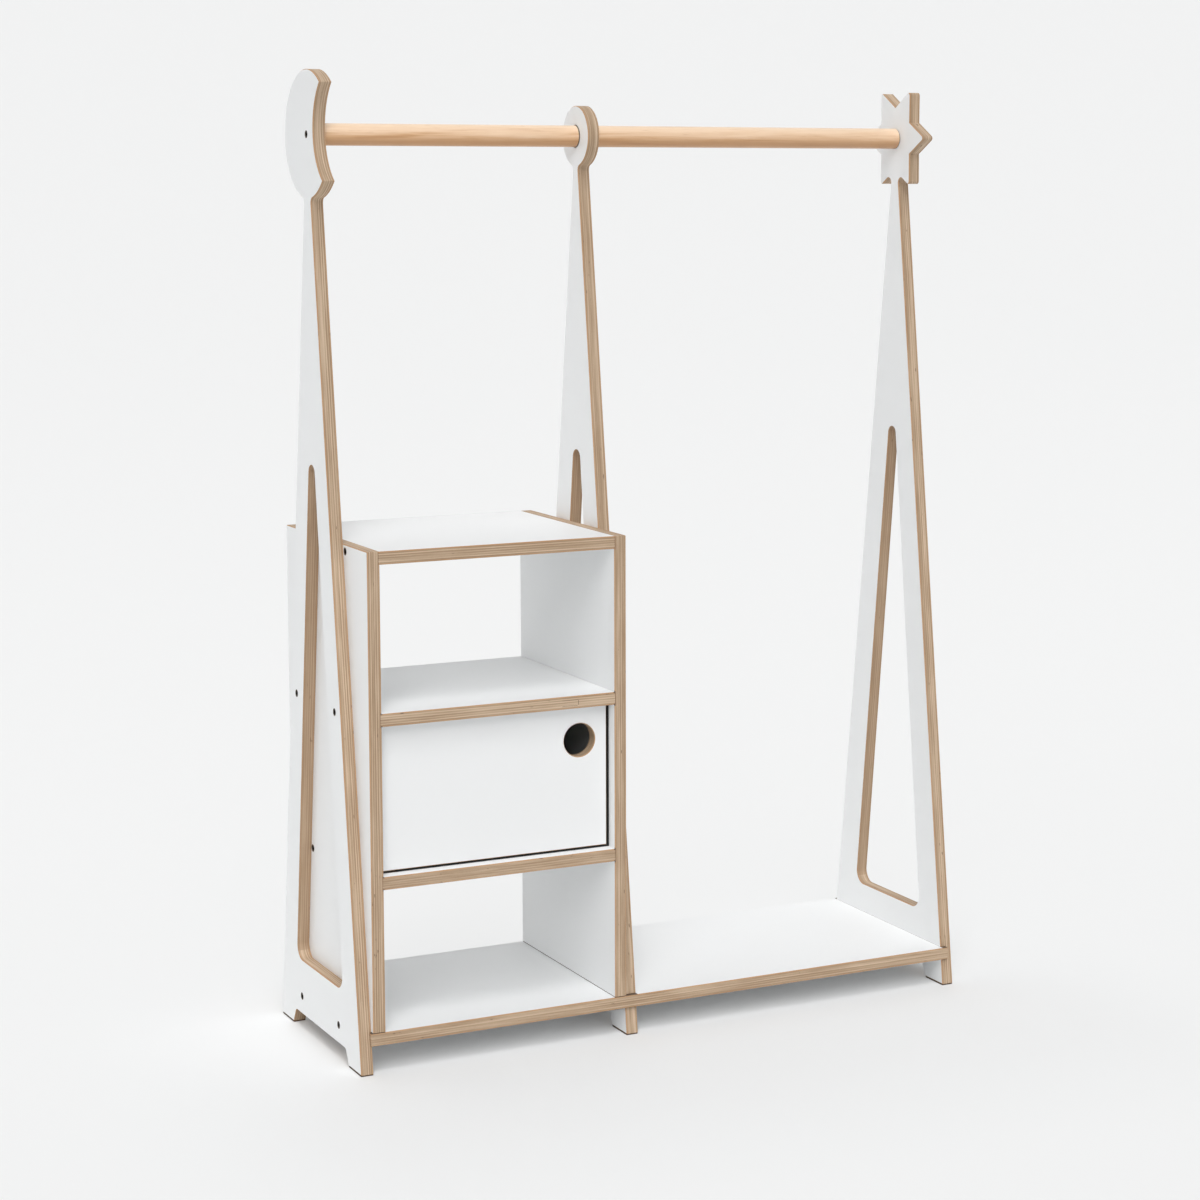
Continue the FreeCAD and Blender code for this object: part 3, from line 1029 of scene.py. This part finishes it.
    def finish(self) -> None:
        """Dress each board by the way its thickness runs."""
        groups = ((Axis.X, self.frames + self.panels), (Axis.Y, self.across_y + self.thin_across_y),
                  (Axis.Z, self.across_z))
        shift = 0.0
        for axis, names in groups:
            for name in names:
                low, high = (corner[axis.value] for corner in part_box(name))
                shift += self.shift_step
                plies = self.thin_plies if name in self.thin_across_y else self.plies
                cut_out_shade = CutOutShade() if name in self.frames else None
                ply = LaminatedPly(axis, low, shift, high - low, plies, self.joints(name), cut_out_shade)
                dress(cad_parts[name], ply.material("white_ply_" + name))
                LOG.info("%s dressed", name)


# Rail

@dataclass
class HangingRail:
    """The turned rail between the moon and the star."""

    sides: int = 96
    ease: float = 0.0012
    ease_steps: int = 3
    entry_shade_width: float = 0.0012
    entered: Names = ("ring_frame", "star_frame")
    smooth_angle: float = 35.0

    def entry_shades(self) -> tuple[ShadeAndSeamBox, ...]:
        """Painted shade: dark lines where the rail goes into the ring and the star.

        Returns:
            A line at each of the two faces.
        """
        low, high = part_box("hanging_rail")
        faces = [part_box(name)[0].x for name in self.entered]
        return tuple(
            ShadeAndSeamBox((face - self.entry_shade_width, low.y - self.ease, low.z - self.ease),
                      (face + self.entry_shade_width, high.y + self.ease, high.z + self.ease))
            for face in faces)

    def build(self) -> None:
        """Turn the rail, ease its ends and dress it."""
        low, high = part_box("hanging_rail")
        Bench.clear()
        bpy.ops.mesh.primitive_cylinder_add(
            vertices=self.sides, radius=(high.y - low.y) / 2, depth=high.x - low.x, end_fill_type="NGON",
            location=(low + high) / 2, rotation=(0.0, math.pi / 2, 0.0))
        Bench.edit()
        half = (high.x - low.x) / 2
        Bench.pick(Element.FACE, lambda middle: abs(abs(middle.z) - half) < NEAR)
        bpy.ops.mesh.bevel(offset=self.ease, segments=self.ease_steps, affect="EDGES")
        rail = Bench.close("rail_turned", self.smooth_angle)
        wood = RailWood((low.z + high.z) / 2, (high.z - low.z) / 2, self.entry_shades())
        dress(rail, wood.material("rail_wood"))
        place_piece(rail, "hanging_rail")


# Screws

@dataclass
class SocketScrews:
    """Dark furniture screws with a hexagon socket; their tall heads nearly fill the sunk holes."""

    head_radius: float = 0.0045
    head_rise: float = 0.0019
    head_height: float = 0.0054
    socket_radius: float = 0.0022
    socket_depth: float = 0.0018
    socket_sides: int = 6
    rim_height: float = 0.0005
    rim_swell: float = 1.03
    head_side: float = 0.0010
    shank_radius: float = 0.00245
    point: float = 0.006
    point_share: float = 0.08
    turns: int = 24
    smooth_angle: float = 40.0
    steel: CoatedSteel = CoatedSteel(
        base=(0.008, 0.008, 0.008), worn=(0.05, 0.05, 0.05), metallic=0.2, roughness=0.6, shine=0.12)

    def model(self, length: float) -> bpy.types.Object:
        """One screw with its head's top at the origin, pointing along +X.

        Args:
            length: From the head's top to the point.

        Returns:
            The screw.
        """
        turned = (0.0, math.pi / 2, 0.0)
        Bench.clear()
        bpy.ops.mesh.primitive_circle_add(
            vertices=self.socket_sides, radius=self.socket_radius, fill_type="NOTHING", rotation=turned)
        Bench.edit()
        bpy.ops.mesh.subdivide(number_cuts=self.turns // self.socket_sides - 1)
        bpy.ops.mesh.primitive_circle_add(
            vertices=self.turns, radius=self.head_radius, fill_type="NOTHING", rotation=turned)
        bpy.ops.mesh.select_all(action="SELECT")
        bpy.ops.mesh.bridge_edge_loops()
        limit = (self.socket_radius + self.head_radius) / 2
        self.step_in(lambda middle: middle.length < limit, self.socket_depth, 1.0)
        bpy.ops.mesh.fill()
        self.step_in(lambda middle: middle.length > limit and middle.z > -NEAR,
                     self.rim_height, self.rim_swell)
        self.step_on(self.head_side, 1.0)
        self.step_on(self.head_height - self.rim_height - self.head_side,
                     self.shank_radius / self.head_radius / self.rim_swell)
        self.step_on(length - self.head_height - self.point, 1.0)
        self.step_on(self.point, self.point_share)
        bpy.ops.mesh.fill()
        return Bench.close("screw", self.smooth_angle)

    @staticmethod
    def step_on(along: float, widen: float) -> None:
        """Extrude the selected loop along the screw and scale it."""
        bpy.ops.mesh.extrude_edges_move(TRANSFORM_OT_translate={"value": (along, 0.0, 0.0)})
        bpy.ops.transform.resize(value=(1.0, widen, widen))

    def step_in(self, wanted: Callable[[Vector], bool], along: float, widen: float) -> None:
        """Pick a loop by its edges' middles and extrude it."""
        Bench.pick(Element.EDGE, wanted)
        self.step_on(along, widen)

    def build(self) -> None:
        """Put a screw at each place of each group and dress it."""
        finish = self.steel.material("screw_black")
        for group in SCREW_GROUPS:
            self.group(group, finish)

    def group(self, node: str, finish: bpy.types.Material) -> None:
        """Replace one node of screws by modelled ones at the same places.

        Args:
            node: The solids' node.
            finish: The screws' finish.
        """
        places, length = self.places(node)
        first = self.model(length + self.head_rise)
        made = [Bench.copy(first, place, node + "_copy") for place in places]
        bpy.data.objects.remove(first)
        screws = Bench.join(made, node + "_socket")
        dress(screws, finish)
        place_piece(screws, node)

    def places(self, node: str) -> tuple[list[Matrix], float]:
        """Where the screws of a node are and how long they are.

        Args:
            node: The solids' node.

        Returns:
            The places of their heads' tops with their directions, and their length.
        """
        left, right = (corner.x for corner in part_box(node))
        rows, height = screw_rows(node)
        ends = [vertex.co.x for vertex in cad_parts[node].data.vertices]
        length = max(x for x in ends if x < (left + right) / 2) - left
        turned = Matrix.Rotation(math.pi, 4, "Z")
        found = []
        for y in rows:
            found.append(Matrix.Translation((left - self.head_rise, y, height)))
            found.append(Matrix.Translation((right + self.head_rise, y, height)) @ turned)
        return found, length


# Feet

@dataclass
class FeltFeet:
    """Soft pads under the six feet."""

    corner: float = 0.002
    corner_steps: int = 4
    round_over: float = 0.0006
    round_steps: int = 2
    smooth_angle: float = 60.0
    pads: Names = (
        "moon_front_foot_pad", "moon_back_foot_pad", "ring_front_foot_pad", "ring_back_foot_pad",
        "star_front_foot_pad", "star_back_foot_pad")

    def build(self) -> None:
        """Model one pad and copy it under each foot."""
        finish = Felt().material("felt_brown")
        first_low, first_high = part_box(self.pads[0])
        pad = self.model(first_low, first_high)
        for name in self.pads:
            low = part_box(name)[0]
            made = Bench.copy(pad, Matrix.Translation(low - first_low), name + "_felt")
            dress(made, finish)
            place_piece(made, name)
        bpy.data.objects.remove(pad)

    def model(self, low: Vector, high: Vector) -> bpy.types.Object:
        """One pad: a sheet with rounded corners and edges.

        Args:
            low: Its low corner.
            high: Its high corner.

        Returns:
            The pad.
        """
        Bench.clear()
        bpy.ops.mesh.primitive_cube_add(size=1.0, location=(low + high) / 2, scale=high - low)
        bpy.ops.object.transform_apply(location=False, rotation=False, scale=True)
        Bench.edit()
        half = (high.z - low.z) / 2
        Bench.pick(Element.EDGE, lambda middle: abs(middle.z) < NEAR)
        bpy.ops.mesh.bevel(offset=self.corner, segments=self.corner_steps, affect="EDGES")
        Bench.pick(Element.FACE, lambda middle: abs(abs(middle.z) - half) < NEAR)
        bpy.ops.mesh.bevel(offset=self.round_over, segments=self.round_steps, affect="EDGES")
        return Bench.close("felt_pad", self.smooth_angle)


# Door fittings

@dataclass
class DoorFittings:
    """Pivots, catch, strike and foam strips, which are the part's own solids; the near-black bushes and foam
    strips give the door's gaps painted shade.
    """

    pin: CoatedSteel = CoatedSteel(
        base=(0.55, 0.55, 0.56), worn=(0.72, 0.72, 0.73), metallic=1.0, roughness=0.32,
        grain=(500.0, 500.0, 2600.0))
    screw: CoatedSteel = CoatedSteel(
        base=(0.50, 0.50, 0.50), worn=(0.66, 0.66, 0.66), metallic=1.0, roughness=0.36)
    magnet: CoatedSteel = CoatedSteel(
        base=(0.05, 0.05, 0.055), worn=(0.16, 0.16, 0.16), metallic=0.7, roughness=0.45)
    strike: CoatedSteel = CoatedSteel(
        base=(0.56, 0.56, 0.57), worn=(0.72, 0.72, 0.72), metallic=1.0, roughness=0.34,
        grain=(120.0, 900.0, 2600.0))
    # Near-black bushes: painted shade in the door's gaps at its pivots.
    gap_shade_bush: MouldedPlastic = MouldedPlastic((0.010, 0.010, 0.010))
    catch: MouldedPlastic = MouldedPlastic((0.76, 0.76, 0.74))
    # Near-black foam strips: painted shade in the door's gaps.
    gap_shade_tape: Felt = Felt(dark=(0.006, 0.006, 0.006), light=(0.018, 0.018, 0.018))

    def finish(self) -> None:
        """Dress each fitting."""
        screw = self.screw.material("small_screw_steel")
        finishes = {
            "pivot_pins": self.pin.material("pivot_steel"),
            "pivot_bushes": self.gap_shade_bush.material("bush_plastic"),
            "door_catch": self.catch.material("catch_plastic"),
            "catch_magnet": self.magnet.material("magnet_coat"),
            "door_strike": self.strike.material("strike_steel"),
            "catch_screws": screw,
            "strike_screw": screw,
            "door_seals": self.gap_shade_tape.material("seal_foam"),
        }
        for name, finish in finishes.items():
            dress(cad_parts[name], finish)
            LOG.info("%s dressed", name)


# Studio

@dataclass(frozen=True)
class Lamp:
    """A far lamp: where it stands as a direction, how strong it is and how wide it looks, in degrees."""

    name: str
    source: Point
    strength: float
    spread: float

    def build(self) -> None:
        """Hang the lamp."""
        Bench.clear()
        bpy.ops.object.light_add(type="SUN", location=self.source)
        lamp = bpy.context.object
        lamp.name = self.name
        lamp.data.energy = self.strength
        lamp.data.angle = math.radians(self.spread)
        lamp.rotation_mode = "QUATERNION"
        lamp.rotation_quaternion = Vector(self.source).to_track_quat("Z", "Y")


@dataclass
class Studio:
    """Paper sweep, soft light and the camera at the photo's angle."""

    wall: float = 1.80
    sweep: float = 0.90
    sweep_steps: int = 24
    reach: float = 9.0
    rise: float = 7.0
    under: float = -0.002
    azimuth: float = -27.211
    elevation: float = 7.109
    roll: float = 0.045
    eye: Point = (-1.8231, -3.7373, 1.2806)
    focal_pixels: float = 2736.26
    picture: float = 1200.0
    sensor: float = 36.0
    shift_right: float = -0.0667
    shift_up: float = -0.0708
    ambient: float = 0.30
    room: Colour = (0.985, 0.992, 1.0)
    seen_room: Colour = (0.90, 0.90, 0.90)
    lamps: tuple[Lamp, ...] = (
        Lamp(name="broad_lamp", source=(-0.36, -0.69, 0.62), strength=1.36, spread=36.0),
        Lamp(name="high_lamp", source=(-0.14, -0.40, 0.90), strength=0.88, spread=18.0))

    def build(self) -> None:
        """Put up the paper, the lights and the camera."""
        self.paper()
        self.light()
        self.camera()
        bpy.context.scene.view_settings.view_transform = "Standard"

    @staticmethod
    def plane(width: float, length: float, middle: Point) -> bpy.types.Object:
        """A level sheet, left in edit mode.

        Args:
            width: Its size along X.
            length: Its size along Y.
            middle: Where its middle goes.

        Returns:
            The sheet.
        """
        Bench.clear()
        bpy.ops.mesh.primitive_plane_add(size=1.0)
        Bench.edit()
        bpy.ops.transform.resize(value=(width, length, 1.0))
        bpy.ops.transform.translate(value=middle)
        return bpy.context.object

    def paper(self) -> None:
        """A floor that sweeps up into a wall, and a floor behind it."""
        wide = 2 * self.reach
        foot = self.wall - NEAR
        sheet = self.plane(wide, self.reach + self.wall, (0.0, (self.wall - self.reach) / 2, 0.0))
        Bench.pick(Element.EDGE, lambda middle: middle.y > foot)
        bpy.ops.mesh.extrude_edges_move(TRANSFORM_OT_translate={"value": (0.0, 0.0, self.rise)})
        Bench.pick(Element.EDGE, lambda middle: middle.y > foot and middle.z < NEAR)
        bpy.ops.mesh.bevel(offset=self.sweep, segments=self.sweep_steps, affect="EDGES")
        Bench.take(sheet)
        bpy.ops.object.shade_smooth()
        sheet.name = "paper_sweep"
        dress(sheet, Paper().material("studio_paper"))
        ground = self.plane(wide, self.reach, (0.0, self.wall - self.sweep + self.reach / 2, self.under))
        Bench.clear()
        ground.name = "floor_behind"
        dress(ground, Paper().material("floor_paper"))

    def light(self) -> None:
        """Even room light, which shows as pale paper, and the lamps."""
        world = bpy.data.worlds.new("studio")
        bpy.context.scene.world = world
        world.use_nodes = True
        wiring = Wiring(world.node_tree)
        looked_at = wiring.looked_at()
        room = wiring.node("Background", None, {"Color": self.room, "Strength": self.ambient})
        seen = wiring.node("Background", None, {"Color": self.seen_room, "Strength": 1.0})
        choice = wiring.node("MixShader", None, {0: looked_at, 1: room.outputs[0], 2: seen.outputs[0]})
        wiring.node("OutputWorld", None, {"Surface": choice.outputs[0]})
        for lamp in self.lamps:
            lamp.build()

    def camera(self) -> None:
        """The camera from its place, its angles and its focal length in the photo's pixels."""
        turn, tilt, roll = (math.radians(angle) for angle in (self.azimuth, self.elevation, self.roll))
        level = math.cos(tilt)
        ahead = Vector((-math.sin(turn) * level, math.cos(turn) * level, -math.sin(tilt)))
        right = Vector((math.cos(turn), math.sin(turn), 0.0))
        up = right.cross(ahead)
        across = math.cos(roll) * right + math.sin(roll) * up
        upright = math.cos(roll) * up - math.sin(roll) * right
        data = bpy.data.cameras.new("photo_view")
        data.sensor_width = self.sensor
        data.lens = self.focal_pixels / self.picture * self.sensor
        data.shift_x = self.shift_right
        data.shift_y = self.shift_up
        camera = bpy.data.objects.new("photo_view", data)
        camera.matrix_world = Matrix((across, upright, -ahead)).transposed().to_4x4()
        camera.location = self.eye
        bpy.context.scene.collection.objects.link(camera)
        bpy.context.scene.camera = camera


def main() -> None:
    """Dress the wardrobe."""
    logging.basicConfig(level=logging.INFO, format="%(name)s: %(message)s")
    Studio().build()
    Boards().finish()
    HangingRail().build()
    SocketScrews().build()
    FeltFeet().build()
    DoorFittings().finish()


if __name__ == "__main__":
    main()
